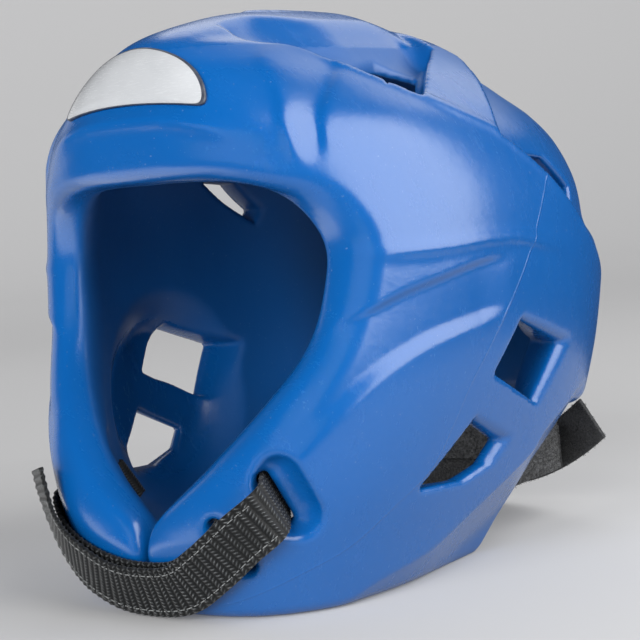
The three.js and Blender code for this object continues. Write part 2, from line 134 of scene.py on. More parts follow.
# Near-distance to a table's form, negative inside it.
def formField(curves, x, f, z):
    h = 0.4
    ratio = ovalRatio(curves, x, f, z)
    slope = np.sqrt((ovalRatio(curves, x + h, f, z) - ratio) ** 2 + (ovalRatio(curves, x, f + h, z) - ratio) ** 2
                    + (ovalRatio(curves, x, f, z + h) - ratio) ** 2) / h
    field = (ratio - 1) / np.maximum(slope, 1e-3)
    return np.maximum(field, z - curves[0][-1])


# Forward place of the outer form at (x, z), front half.
def outerForward(x, z):
    front, rear, half, power, rearPower = (np.interp(z, outerCurves[0], outerCurves[c]) for c in range(1, 6))
    share = np.maximum(1 - (np.abs(x) / half) ** power, 1e-6)
    return widestForward + (front - widestForward) * share ** (1 / power)


def smoothLine(points, count):
    return catmull(points, np.linspace(0, len(points) - 1, count))


# Distance from points (a, b) to a line, the place along it from 0 to 1, and the side (positive on its left).
def lineField(points, a, b):
    points = np.asarray(points, float)
    points = points[np.append(True, np.abs(np.diff(points, axis=0)).sum(1) > 1e-6)]
    best = np.full(a.shape, 1e9)
    place = np.zeros(a.shape)
    side = np.zeros(a.shape)
    lengths = np.hypot(*(points[1:] - points[:-1]).T)
    total = lengths.sum()
    done = 0.0
    for start, end, length in zip(points[:-1], points[1:], lengths):
        da, db = (end - start) / length
        t = np.clip((a - start[0]) * da + (b - start[1]) * db, 0, length)
        pa, pb = a - start[0] - t * da, b - start[1] - t * db
        d = np.hypot(pa, pb)
        near = d < best
        best = np.where(near, d, best)
        place = np.where(near, (done + t) / total, place)
        side = np.where(near, np.sign(da * pb - db * pa), side)
        done += length
    return best, place, side


# Signed distance to a closed outline, negative inside.
def outlineField(points, a, b):
    points = np.asarray(points, float)
    closed = np.concatenate([points, points[:1]])
    distance, place, side = lineField(closed, a, b)
    inside = np.zeros(a.shape, bool)
    for start, end in zip(closed[:-1], closed[1:]):
        crosses = (start[1] > b) != (end[1] > b)
        rise = end[1] - start[1] if abs(end[1] - start[1]) > 1e-9 else 1e-9
        inside ^= crosses & (a < (end[0] - start[0]) * (b - start[1]) / rise + start[0])
    return np.where(inside, -distance, distance)


opening = {
    # (forward, z) outline of the opening from the side, and (x, z) half outline from the front
    "bite": [(150, 153), (96, 153), (80, 148), (72, 134), (73, 119), (79, 99), (92, 77), (104, 55), (113, 34),
             (150, 34)],
    "edge": [(0, 153), (20, 153), (38, 151), (50, 143.5), (57, 129), (58, 117), (54.5, 96), (45, 79), (27, 57),
             (9, 40), (0, 30)],
    # the fastened strap draws the opening to the wearer's right: at the chin, at the brow, and the two heights
    "pull": (4.0, 2.0, 50, 110),
    "edgeStart": 35, "slitHalf": 1.2, "slitTop": 42, "lipRadius": 7.0, "slitRadius": 4.5, "blend": 14,
}
nape = {
    "edge": [(-25, -20), (-25, 0), (-35, 11), (-44, 20), (-50, 28), (-55, 37), (-60, 45.5), (-68, 53),
             (-95, 54.5), (-150, 52), (-150, -20)],
    "radius": 5.0, "rimRadius": 4.0,
}
earVents = {
    "upper": {"outline": [(2, 95), (-26, 83.5), (-13, 63.5), (13, 78)],
              "scoop": 0.2, "grow": 1.0, "undercut": 0.8},
    "lower": {"outline": [(26, 61.5), (6, 50.5), (12, 43.5), (26, 39.5), (46, 40.5)],
              "scoop": 0.17, "grow": 0.6, "undercut": 0.25},
    "radius": 2.2, "scoopDepth": 5.0, "undercutFrom": 3, "nearest": 40,
    "hollow": {"forward": 14, "z": 67, "long": 46, "short": 38, "tilt": -35, "depth": 11},
}
crown = {
    # (forward, z) line of the ridge round the crown
    "ridge": [(-140, 112), (-90, 117), (-50, 132), (-23, 152), (-6, 165.5), (12, 175), (24, 183), (39, 194),
              (48, 202), (60, 205.5), (90, 207), (110, 207)],
    "ridgeSoft": 1.8, "ridgeFade": 9.0, "bead": {"height": 0.8, "width": 3.0},
    # plan (x, forward) of a front pocket, of its hole and of the cross band's two edges
    "pocket": [(32, 62), (60, 60), (92, 40), (74, 25), (60, 1), (45, -26), (25, -30), (15, -10), (13, 15),
               (11, 40), (15, 60)],
    "pocketSlope": (21, 42), "slopeShift": (14, 16), "pocketDepth": 13, "pocketSoft": 3.2,
    "hole": [(40, 26), (66, 32), (61, 8), (47, -14), (38, 0)], "holeRadius": 1.5, "holeFrom": 160,
    "bandFront": [(20, -40), (45, -26), (60, 1), (74, 25), (80, 36)],
    "bandDepth": 2.0, "bandSlope": 13, "bandDrop": 4.0,
    "rearEdge": [(0, -44), (50, -42), (69, -27), (89, -6), (110, 16)], "rearDepth": 7.5, "rearSoft": 1.0,
    "spine": (11, 17),
    "rearVent": [(-23, 157), (-40, 146.5), (-57, 137), (-60, 142.5), (-43, 155)], "ventRadius": 2, "ventFrom": 35,
}
# Swells on the brow along (x, z) lines: its corner, with a valley beside it, and the crest under the badge.
browCorner = {
    "line": [(34, 205), (47, 192), (55, 181), (61, 165), (63, 156)],
    "height": 1.1, "width": 2.0, "valley": 1.6, "apart": 4.3,
}
browCrest = {"line": [(0, 178.5), (18, 177.8), (34, 174.5), (48, 169)], "height": 1.7, "width": 3.0}
strapSlots = {
    "length": 17, "width": 3.6, "flare": 4.0, "innerFlare": 6.0, "fade": 3.6, "wall": 22, "radius": 2,
    "dip": {"radius": 8.0, "half": 8.0, "away": 5.5, "below": 1.0, "lip": 2.5},
    # x, z, lean, and whether a dip lies beyond the mouth
    "places": [(-64, 34, 38, False), (36, 27.5, -33, False), (53.5, 42.5, -25, True)],
}


def outerSlopes(x, z):
    h = 0.5
    slopeX = (outerForward(x + h, z) - outerForward(x - h, z)) / (2 * h)
    slopeZ = (outerForward(x, z + h) - outerForward(x, z - h)) / (2 * h)
    return slopeX, slopeZ


# Place on the outer form at (x, z), and its directions out, sideways and up.
def outerFrame(x, z):
    slopeX, slopeZ = outerSlopes(x, z)
    out = np.array([-slopeX, 1.0, -slopeZ])
    out /= np.linalg.norm(out)
    side = np.array([1.0, slopeX, 0.0])
    side /= np.linalg.norm(side)
    up = np.cross(side, out)
    up *= np.sign(up[2]) / np.linalg.norm(up)
    return np.array([x, float(outerForward(x, z)), z]), out, side, up


# Low relief on the sides, in (forward, z): a swell along a line, and a channel between two lines.
sideRidge = {
    "line": [(82, 126), (67, 126.5), (45, 126.5), (15, 127.5), (-8, 125), (-34, 118)],
    "height": 1.3, "width": 2.8, "ends": 0.25,
}
sideChannel = {
    "upper": [(92, 88), (77, 103), (61, 111), (42, 116), (28, 119), (8, 121)],
    "lower": [(98, 56), (88, 69), (72, 84), (56, 92.5), (42, 96.5), (15, 101), (0, 103)],
    "depth": 2.0, "upperWall": 1.8, "lowerWall": 2.8, "ends": ((102, 90), (8, 26)),
}
bevel = {
    "line": [(75, 0), (57, 8), (34, 14), (13, 24), (-23, 41), (-33, 50), (-60, 62), (-75, 66)],
    "slope": 0.45, "ends": 0.1,
}


def bothEnds(along, share):
    return ease(along, 0, share) * ease(1 - along, 0, share)


def bump(distance, row):
    return row["height"] * np.exp(-(distance / row["width"]) ** 2)


def sideSwell(f, z):
    d, along, side = lineField(smoothLine(sideRidge["line"], 24), f, z)
    total = bump(d, sideRidge) * bothEnds(along, sideRidge["ends"])
    d, along, side = lineField(smoothLine(sideChannel["upper"], 24), f, z)
    under = ease(d * side, -sideChannel["upperWall"], sideChannel["upperWall"])
    d, along, side = lineField(smoothLine(sideChannel["lower"], 24), f, z)
    over = ease(-d * side, -sideChannel["lowerWall"], sideChannel["lowerWall"])
    front, rear = sideChannel["ends"]
    return total - sideChannel["depth"] * under * over * ease(-f, -front[0], -front[1]) * ease(f, *rear)


# How far the crown is sunk below the outer form, inside its ridge.
def crownDepth(wide, f, z):
    inPocket = 1 - ease(outlineField(crown["pocket"], wide, f), -crown["pocketSoft"], crown["pocketSoft"])
    low, high = (edge - shift * ease(f, 10, 50) for edge, shift in zip(crown["pocketSlope"], crown["slopeShift"]))
    pocket = crown["pocketDepth"] * ease(wide, low, high)
    d, along, side = lineField(smoothLine(crown["bandFront"], 30), wide, f)
    band = crown["bandDepth"] * ease(wide, 14, 30)
    band = band + crown["bandDrop"] * (1 - np.clip(d / crown["bandSlope"], 0, 1)) * ease(wide, 22, 42)
    edgeX, edgeF = np.array(crown["rearEdge"], float).T
    inDome = 1 - ease(f - np.interp(wide, edgeX, edgeF), -crown["rearSoft"], crown["rearSoft"])
    behind = inDome * crown["rearDepth"] + (1 - inDome) * band * ease(side * d, -2, 2)
    depth = inPocket * pocket + (1 - inPocket) * behind * ease(wide, *crown["spine"])
    ridgeF, ridgeZ = smoothLine(crown["ridge"], 60).T
    above = (z - np.interp(f, ridgeF, ridgeZ)) * 0.8
    soft = crown["ridgeSoft"] + crown["ridgeFade"] * ease(-f, 35, 85)
    return depth * ease(above / soft, -1, 1)


def shellField(x, f, z):
    wide = np.abs(x)
    onSide = ease(wide, 40, 62)
    outer = formField(outerCurves, x, f, z)
    outer = outer - onSide * sideSwell(f, z)
    d, along, side = lineField(smoothLine(crown["ridge"], 50), f, z)
    outer = outer - bump(d, crown["bead"]) * ease(f, -110, -60) * ease(-f, -60, -40) * ease(wide, 28, 45)
    d, along, side = lineField(smoothLine(browCorner["line"], 30), wide, z)
    valley = browCorner["valley"] * np.exp(-((d * side - browCorner["apart"]) / browCorner["width"]) ** 2)
    swell = (bump(d, browCorner) - valley) * bothEnds(along, 0.2)
    d, along, side = lineField(smoothLine(browCrest["line"], 30), wide, z)
    swell = swell + bump(d, browCrest) * ease(1 - along, 0, 0.35)
    outer = outer - swell * ease(f, 30, 50)
    d, along, side = lineField(smoothLine(bevel["line"], 40), f, z)
    outer = outer + bevel["slope"] * onSide * np.maximum(d * side, 0) * bothEnds(along, bevel["ends"])
    hollow = formField(hollowCurves, x, f, z)
    ear = earVents["hollow"]
    turn = math.radians(ear["tilt"])
    u = ((f - ear["forward"]) * math.cos(turn) + (z - ear["z"]) * math.sin(turn)) / ear["long"]
    v = ((z - ear["z"]) * math.cos(turn) - (f - ear["forward"]) * math.sin(turn)) / ear["short"]
    hollow = hollow - ear["depth"] * (1 - ease(np.hypot(u, v), 0.62, 1.15)) * ease(wide, 30, 45)
    skinned = outer
    outer = outer + crownDepth(wide, f, z)
    shell = np.maximum(outer, -hollow)
    # holes
    hole = np.maximum(outlineField(crown["hole"], wide, f), crown["holeFrom"] - z)
    shell = roundMax(shell, -hole, crown["holeRadius"])
    rear = np.maximum(outlineField(crown["rearVent"], f, z), crown["ventFrom"] - wide)
    shell = roundMax(shell, -rear, crown["ventRadius"])
    mouth = np.exp(-np.clip(-skinned, 0, 60) / earVents["scoopDepth"])
    for vent in (earVents["upper"], earVents["lower"]):
        front = max(row[0] for row in vent["outline"])
        back = vent["undercut"] * np.clip(-skinned - earVents["undercutFrom"], 0, 20) * ease(front - f, 4, 16)
        widened = front + (f - front) * (1 - vent["scoop"] * mouth) + back
        hole = outlineField(vent["outline"], widened, z) - vent["grow"]
        shell = roundMax(shell, -np.maximum(hole, earVents["nearest"] - wide), earVents["radius"])
    # face, nape and rim
    biteLine = np.concatenate([opening["bite"][:1], smoothLine(opening["bite"][1:-1], 40), opening["bite"][-1:]])
    bite = outlineField(biteLine, f, z)
    edgeLine = smoothLine(opening["edge"], 60)
    atChin, atBrow, chinZ, browZ = opening["pull"]
    drawn = x + atChin + (atBrow - atChin) * ease(z, chinZ, browZ)
    edge = outlineField(np.concatenate([edgeLine, edgeLine[::-1] * (-1, 1)]), drawn, z)
    behind = opening["edgeStart"] - f
    edge = np.maximum(edge, behind)
    slit = np.maximum(np.maximum(np.abs(drawn) - opening["slitHalf"], z - opening["slitTop"]), behind)
    face = -softMax(-bite, -edge, opening["blend"])
    shell = roundMax(shell, -face, opening["lipRadius"])
    shell = roundMax(shell, -slit, opening["slitRadius"])
    shell = roundMax(shell, -outlineField(nape["edge"], f, z), nape["radius"])
    for px, pz, lean, dipped in strapSlots["places"]:
        at, out, sideways, up = outerFrame(px, pz)
        across = up * math.cos(math.radians(lean)) + sideways * math.sin(math.radians(lean))
        thin = np.cross(across, out)
        thin *= np.sign(thin[0]) * np.sign(px)
        rel = (x - at[0], f - at[1], z - at[2])
        a, b, c = (sum(r * v for r, v in zip(rel, axis)) for axis in (across, thin, out))
        mouth = np.exp(np.clip(c / strapSlots["fade"], -20, 0.8))
        inner = np.exp(np.clip(-(c + strapSlots["wall"]) / strapSlots["fade"], -20, 0.8))
        slot = np.hypot(np.maximum(np.abs(a) - strapSlots["length"] / 2, 0), b) - strapSlots["width"] / 2
        slot = slot - strapSlots["flare"] * mouth - strapSlots["innerFlare"] * inner
        shell = roundMax(shell, -np.maximum(slot * 0.8, np.abs(c + 10) - 30), strapSlots["radius"])
        if dipped:
            dip = strapSlots["dip"]
            along = np.maximum(np.abs(a) - dip["half"], 0)
            trough = np.sqrt(along ** 2 + (b - dip["away"]) ** 2 + (c + dip["below"]) ** 2) - dip["radius"]
            shell = roundMax(shell, -trough, dip["lip"])
    return roundMax(shell, -z, nape["rimRadius"])


# Grid of the field, full only near the surface, then one point in each cell that the surface crosses.
def skinOf(field, low, high, step):
    block = 4
    counts = [int(math.ceil((b - a) / (step * block))) for a, b in zip(low, high)]
    axes = [a + step * block * np.arange(n + 1) for a, n in zip(low, counts)]
    coarse = field(*(g.ravel() for g in np.meshgrid(*axes, indexing="ij"))).reshape([n + 1 for n in counts])
    fineCounts = [n * block + 1 for n in counts]
    index = [np.minimum(np.round(np.arange(n) / block).astype(int), c) for n, c in zip(fineCounts, counts)]
    values = coarse[np.ix_(*index)].astype(np.float32)
    near = np.abs(values) < step * block * 1.6
    spots = np.argwhere(near)
    values[near] = field(*(low[k] + step * spots[:, k] for k in range(3)))
    inside = values < 0
    corners = [(i, j, k) for i in (0, 1) for j in (0, 1) for k in (0, 1)]
    size = [n - 1 for n in fineCounts]
    total = sum(inside[i:i + size[0], j:j + size[1], k:k + size[2]].astype(np.int8) for i, j, k in corners)
    cells = np.argwhere((total > 0) & (total < 8))
    number = np.full(size, -1, np.int64)
    number[tuple(cells.T)] = np.arange(len(cells))
    sums = np.zeros((len(cells), 3))
    hits = np.zeros(len(cells))
    for a in corners:
        for axis in range(3):
            if a[axis]:
                continue
            b = tuple(v + (k == axis) for k, v in enumerate(a))
            va = values[tuple((cells + a).T)]
            vb = values[tuple((cells + b).T)]
            cut = (va < 0) != (vb < 0)
            share = np.where(cut, va / np.where(cut, va - vb, 1), 0)
            spot = np.array(a, float) + share[:, None] * (np.array(b) - np.array(a))
            sums += np.where(cut[:, None], spot, 0)
            hits += cut
    points = np.array(low) + step * (cells + sums / hits[:, None])
    quads = []
    for axis in range(3):
        p, q = (axis + 1) % 3, (axis + 2) % 3
        start = [slice(1, size[k]) for k in range(3)]
        start[axis] = slice(0, size[axis])
        end = list(start)
        end[axis] = slice(1, size[axis] + 1)
        for flip, crossing in ((False, inside[tuple(start)] & ~inside[tuple(end)]),
                               (True, ~inside[tuple(start)] & inside[tuple(end)])):
            at = np.argwhere(crossing)
            at += [0 if k == axis else 1 for k in range(3)]
            ring = []
            for dp, dq in ((0, 0), (-1, 0), (-1, -1), (0, -1)):
                cell = at.copy()
                cell[:, p] += dp
                cell[:, q] += dq
                ring.append(number[tuple(cell.T)])
            ring = np.stack(ring, 1)
            quads.append(ring[:, ::-1] if flip else ring)
    return points, np.concatenate(quads)


def placed(name, data):
    made = bpy.data.objects.new(name, data)
    bpy.context.scene.collection.objects.link(made)
    return made


# Smooth-shaded piece; the last faces, as many as flat says, stay flat.
def meshObject(name, points, faces, flat=0):
    mesh = bpy.data.meshes.new(name)
    mesh.from_pydata(toWorld(points).tolist(), [], faces)
    mesh.update()
    mesh.polygons.foreach_set("use_smooth", [True] * (len(faces) - flat) + [False] * flat)
    return placed(name, mesh)


def ringFaces(rings, count):
    quads = []
    for r in range(rings - 1):
        for i in range(count):
            j = (i + 1) % count
            quads.append((r * count + i, r * count + j, (r + 1) * count + j, (r + 1) * count + i))
    return quads


def pointNormals(points, faces):
    diagonal = np.cross(points[faces[:, 2]] - points[faces[:, 0]], points[faces[:, 3]] - points[faces[:, 1]])
    normals = np.zeros(points.shape)
    for k in range(4):
        for axis in range(3):
            normals[:, axis] += np.bincount(faces[:, k], diagonal[:, axis], len(points))
    return normals / np.maximum(np.linalg.norm(normals, axis=1, keepdims=True), 1e-9)


def neighbourMean(points, faces):
    total = np.zeros(points.shape)
    for k in range(4):
        pair = points[faces[:, (k + 1) % 4]] + points[faces[:, (k + 3) % 4]]
        for axis in range(3):
            total[:, axis] += np.bincount(faces[:, k], pair[:, axis], len(points))
    return total / np.maximum(2 * np.bincount(faces.ravel(), minlength=len(points)), 1)[:, None]


shellGrid = {"step": 1.5, "quickStep": 3.0, "low": (-105, -137, -3.1), "high": (105, 122, 225)}
step = shellGrid["step"]
points, faces = skinOf(shellField, shellGrid["low"], shellGrid["high"], step)
for settle in range(5):
    normals = pointNormals(points, faces)
    slide = neighbourMean(points, faces) - points
    points += 0.5 * (slide - normals * (slide * normals).sum(1, keepdims=True))
    pull = shellField(*points.T)
    slope = (shellField(*(points + 0.3 * normals).T) - pull) / 0.3
    points -= normals * np.clip(pull / np.maximum(slope, 0.4), -0.6, 0.6)[:, None]
print("shell skin", len(points), "points", len(faces), "faces")
shell = meshObject("foamShell", points, faces[:, ::-1].tolist())  # forward runs along -Y


def addFloat(piece, name, values):
    piece.data.attributes.new(name, "FLOAT", "POINT").data.foreach_set("value", np.asarray(values, np.float32))


# Mould joint: a line over each side from the crown down to the chin.
mouldJoint = [(-40, 165), (-21, 145), (-7, 126), (10, 102), (20, 89), (30, 75), (37, 60), (44, 47), (59, 36),
              (74, 24), (89, 16), (99, 8), (104, 0)]
jointDistance, jointPlace, jointSide = lineField(smoothLine(mouldJoint, 80), points[:, 1], points[:, 2])
jointFar = 20 * (np.abs(points[:, 0]) < 25) + 20 * ease(jointPlace * -1, -0.08, 0.0)
onOutside = formField(outerCurves, *points.T) > -7
addFloat(shell, "mouldJoint", np.where(onOutside, jointDistance * jointSide + jointFar, 30))
# Rougher inside, and painted shade at the back of the hollow, which is coloured darker there.
fromHollow = formField(hollowCurves, *points.T)
addFloat(shell, "inside", 1 - ease(fromHollow, 3, 9))
addFloat(shell, "wearAndBackShade", (1 - ease(fromHollow, 2, 6)) * ease(-points[:, 1], 60, 95))


def nodeTree(name):
    material = bpy.data.materials.new(name)
    material.use_nodes = True
    tree = material.node_tree
    tree.nodes.clear()
    output = tree.nodes.new("ShaderNodeOutputMaterial")
    shader = tree.nodes.new("ShaderNodeBsdfPrincipled")
    tree.links.new(shader.outputs[0], output.inputs[0])
    return material, tree, shader


def node(tree, kind, settings=None, **inputs):
    made = tree.nodes.new(kind)
    for key, value in (settings or {}).items():
        setattr(made, key, value)
    for key, value in inputs.items():
        socket = made.inputs[int(key[1:])] if key[0] == "i" and key[1:].isdigit() else made.inputs[key]
        if isinstance(value, bpy.types.NodeSocket):
            tree.links.new(value, socket)
        else:
            socket.default_value = value
    return made


def link(tree, kind, settings=None, **inputs):
    return node(tree, kind, settings, **inputs).outputs


def objectPlace(tree):
    return link(tree, "ShaderNodeTexCoord")["Object"]


def noise(tree, place, scale, detail=2.0, roughness=0.5):
    return link(tree, "ShaderNodeTexNoise", None, Vector=place, Scale=scale, Detail=detail, Roughness=roughness)[0]


def stretched(tree, place, scale, turn):
    return link(tree, "ShaderNodeMapping", None, Vector=place, Scale=scale, Rotation=turn)[0]


def spread(tree, value, low, high, toLow, toHigh):
    return link(tree, "ShaderNodeMapRange", None, Value=value, i1=low, i2=high, i3=toLow, i4=toHigh)[0]


def mixed(tree, factor, under, over):
    return link(tree, "ShaderNodeMix", {"data_type": "RGBA"}, Factor=factor, i6=under, i7=(*over, 1))[2]


def math2(tree, operation, a, b=0.0, c=0.0):
    return node(tree, "ShaderNodeMath", {"operation": operation}, i0=a, i1=b, i2=c).outputs[0]


def wave(tree, turns):
    crest = math2(tree, "COSINE", math2(tree, "MULTIPLY", turns, 2 * math.pi))
    return math2(tree, "MULTIPLY_ADD", crest, 0.5, 0.5)


def ramp(tree, factor, stops):
    made = node(tree, "ShaderNodeValToRGB", None, Fac=factor)
    elements = made.color_ramp.elements
    while len(elements) < len(stops):
        elements.new(0.5)
    for element, (place, colour) in zip(elements, stops):
        element.position = place
        element.color = (*colour, 1)
    return made.outputs[0]


def attribute(tree, name):
    return node(tree, "ShaderNodeAttribute", {"attribute_name": name}).outputs["Fac"]


foamFinish = {
    "deep": (0.0004, 0.064, 0.245), "light": (0.0012, 0.076, 0.275),
    # dust colours the specks and scuffs; the dark blue after it is painted shade for the back of the hollow.
    "dust": (0.16, 0.24, 0.42), "backShade": (0.0005, 0.008, 0.03),
    "roughness": (0.21, 0.31), "grain": 900.0, "grainDepth": 0.06, "orange": 240.0, "orangeDepth": 0.035,
    "speck": 1100.0, "scuff": 34.0, "insideRough": 0.22, "jointWidth": 0.55, "jointDepth": 0.35,
}


def foamMaterial():
    material, tree, shader = nodeTree("satinFoam")
    place = objectPlace(tree)
    cloud = noise(tree, place, 22.0, 4.0, 0.6)
    fine = noise(tree, place, foamFinish["grain"])
    orange = noise(tree, place, foamFinish["orange"])
    speck = noise(tree, place, foamFinish["speck"], 0.0)
    long = stretched(tree, place, (1.0, 5.0, 2.0), (0.5, 0.3, 0.7))
    scuff = noise(tree, long, foamFinish["scuff"], 6.0, 0.75)
    colour = ramp(tree, cloud, [(0.0, foamFinish["deep"]), (1.0, foamFinish["light"])])
    specks = spread(tree, speck, 0.80, 0.86, 0.0, 0.3)
    scuffs = spread(tree, scuff, 0.60, 0.80, 0.0, 0.03)
    colour = mixed(tree, math2(tree, "ADD", specks, scuffs), colour, foamFinish["dust"])
    # Painted shade: the back of the hollow is mixed towards a dark blue, with a little noise.
    backShade = math2(tree, "MULTIPLY", attribute(tree, "wearAndBackShade"), math2(tree, "MULTIPLY_ADD", cloud, 0.5, 0.45))
    colour = mixed(tree, backShade, colour, foamFinish["backShade"])
    tree.links.new(colour, shader.inputs["Base Color"])
    joint = math2(tree, "DIVIDE", math2(tree, "ABSOLUTE", attribute(tree, "mouldJoint")), foamFinish["jointWidth"])
    onJoint = math2(tree, "SUBTRACT", 1.0, math2(tree, "SMOOTH_MIN", joint, 1.0, 0.4))
    low, high = foamFinish["roughness"]
    rough = spread(tree, scuff, 0.2, 0.8, low, high)
    rough = math2(tree, "MULTIPLY_ADD", attribute(tree, "inside"), foamFinish["insideRough"], rough)
    tree.links.new(rough, shader.inputs["Roughness"])
    shader.inputs["Specular IOR Level"].default_value = 0.8
    skin = node(tree, "ShaderNodeBump", None, Height=orange, Strength=foamFinish["orangeDepth"], Distance=0.002)
    grain = node(tree, "ShaderNodeBump", None, Height=fine, Strength=foamFinish["grainDepth"], Distance=0.0004,
                 Normal=skin.outputs[0])
    bead = node(tree, "ShaderNodeBump", None, Height=onJoint, Strength=foamFinish["jointDepth"], Distance=0.0004,
                Normal=grain.outputs[0])
    tree.links.new(bead.outputs[0], shader.inputs["Normal"])
    return material


shell.data.materials.append(foamMaterial())
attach(shell, "root")
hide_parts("shell")
print("foam shell placed")


badge = {
    "half": 34, "bottom": 181, "rise": 3, "top": 204, "power": 1.8, "lift": 0.3, "edge": 1.2, "crown": 1.0,
    "rings": (1.0, 0.985, 0.965, 0.94, 0.9, 0.84, 0.74, 0.6, 0.45, 0.3, 0.15), "around": 144, "rimRings": 4,
}


def onBrow(x, z, off):
    slopeX, slopeZ = outerSlopes(x, z)
    out = np.stack([-slopeX, np.ones_like(x), -slopeZ], 1)
    out /= np.linalg.norm(out, axis=1, keepdims=True)
    return np.stack([x, outerForward(x, z), z], 1) + out * np.asarray(off)[:, None]


def badgeOutline():
    angle = np.linspace(0, math.pi, 200)
    wave = 2 / badge["power"]
    arch = np.stack([badge["half"] * np.sign(np.cos(angle)) * np.abs(np.cos(angle)) ** wave,
                     badge["bottom"] + (badge["top"] - badge["bottom"]) * np.sin(angle) ** wave], 1)
    x = np.linspace(-badge["half"], badge["half"], 120)[1:-1]
    foot = np.stack([x, badge["bottom"] + badge["rise"] * (1 - (x / badge["half"]) ** 2)], 1)
    loop = np.concatenate([arch, foot])
    run = np.append(0, np.cumsum(np.hypot(*np.diff(np.concatenate([loop, loop[:1]]), axis=0).T)))
    even = np.linspace(0, run[-1], badge["around"], endpoint=False)
    line = np.stack([np.interp(even, run, np.append(loop[:, k], loop[0, k])) for k in (0, 1)], 1)
    for turn in range(6):  # rounds the two corners
        line = 0.25 * np.roll(line, 1, 0) + 0.5 * line + 0.25 * np.roll(line, -1, 0)
    return line


def makeBadge():
    line = badgeOutline()
    centre = np.array([0, 0.6 * badge["bottom"] + 0.4 * badge["top"]])
    around = badge["around"]
    layers = [(1.0, badge["lift"]), (1.0, badge["lift"] + badge["edge"] * 0.7)]
    for ring in badge["rings"]:
        inward = min((1 - ring) * 2, 1)
        layers.append((ring - 0.006, badge["lift"] + badge["edge"] + badge["crown"] * (1 - (1 - inward) ** 2)))
    rows = []
    for ring, off in layers:
        at = centre + (line - centre) * ring
        rows.append(onBrow(at[:, 0], at[:, 1], np.full(around, off)))
    hub = onBrow(np.array([centre[0]]), np.array([centre[1]]), [badge["lift"] + badge["edge"] + badge["crown"]])
    back = onBrow(np.array([centre[0]]), np.array([centre[1]]), [badge["lift"]])
    spots = np.concatenate([*rows, hub, back])
    last = (len(rows) - 1) * around
    top, under = len(spots) - 2, len(spots) - 1
    sides = ringFaces(len(rows), around)
    sides += [(last + i, last + (i + 1) % around, top) for i in range(around)]
    sides += [((i + 1) % around, i, under) for i in range(around)]
    piece = meshObject("browBadge", spots, [face[::-1] for face in sides])
    rim = badge["rimRings"] * around
    piece.data.polygons.foreach_set("material_index", [1] * rim + [0] * (len(sides) - rim))
    return piece


def badgeMaterials():
    face, tree, shader = nodeTree("badgeFace")
    place = objectPlace(tree)
    cloud = noise(tree, place, 60.0, 3.0)
    tone = ramp(tree, cloud, [(0.2, (0.32, 0.33, 0.345)), (0.8, (0.38, 0.39, 0.405))])
    tree.links.new(tone, shader.inputs["Base Color"])
    scratch = noise(tree, stretched(tree, place, (1.0, 1.0, 9.0), (0.0, 0.5, 0.0)), 260.0, 5.0, 0.7)
    tree.links.new(spread(tree, scratch, 0.3, 0.75, 0.17, 0.34), shader.inputs["Roughness"])
    dent = link(tree, "ShaderNodeBump", None, Height=scratch, Strength=0.05, Distance=0.0005)[0]
    tree.links.new(dent, shader.inputs["Normal"])
    shader.inputs["Coat Weight"].default_value = 0.25
    shader.inputs["Coat Roughness"].default_value = 0.08
    rim, tree, shader = nodeTree("badgeRim")
    place = objectPlace(tree)
    tone = ramp(tree, noise(tree, place, 300.0), [(0.3, (0.02, 0.025, 0.04)), (0.7, (0.06, 0.065, 0.08))])
    tree.links.new(tone, shader.inputs["Base Color"])
    shader.inputs["Roughness"].default_value = 0.35
    return face, rim


plate = makeBadge()
for finish in badgeMaterials():
    plate.data.materials.append(finish)
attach(plate, "root")
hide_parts("forehead_badge")
print("brow badge placed")


# Smooth line through points, as evenly spaced places with the row that each lies at.
def route(points, spacing):
    points = np.asarray(points, float)
    ends = np.concatenate([[2 * points[0] - points[1]], points, [2 * points[-1] - points[-2]]])
    places, rows = [], []
    u = np.linspace(0, 1, 40, endpoint=False)[:, None]
    for i in range(len(points) - 1):
        a, b, c, d = ends[i:i + 4]
        ab, bc, cd = (math.sqrt(np.linalg.norm(q - p)) for p, q in ((a, b), (b, c), (c, d)))
        tangentB = ((b - a) / ab - (c - a) / (ab + bc) + (c - b) / bc) * bc
        tangentC = ((c - b) / bc - (d - b) / (bc + cd) + (d - c) / cd) * bc
        places.append(b + tangentB * u + (3 * (c - b) - 2 * tangentB - tangentC) * u ** 2
                      + (2 * (b - c) + tangentB + tangentC) * u ** 3)
        rows.append(i + u[:, 0])
    places = np.concatenate([*places, points[-1:]])
    rows = np.append(np.concatenate(rows), len(points) - 1)
    run = np.append(0, np.cumsum(np.linalg.norm(np.diff(places, axis=0), axis=1)))
    even = np.linspace(0, run[-1], int(run[-1] / spacing) + 1)
    return np.stack([np.interp(even, run, places[:, k]) for k in range(3)], 1), np.interp(even, run, rows), even


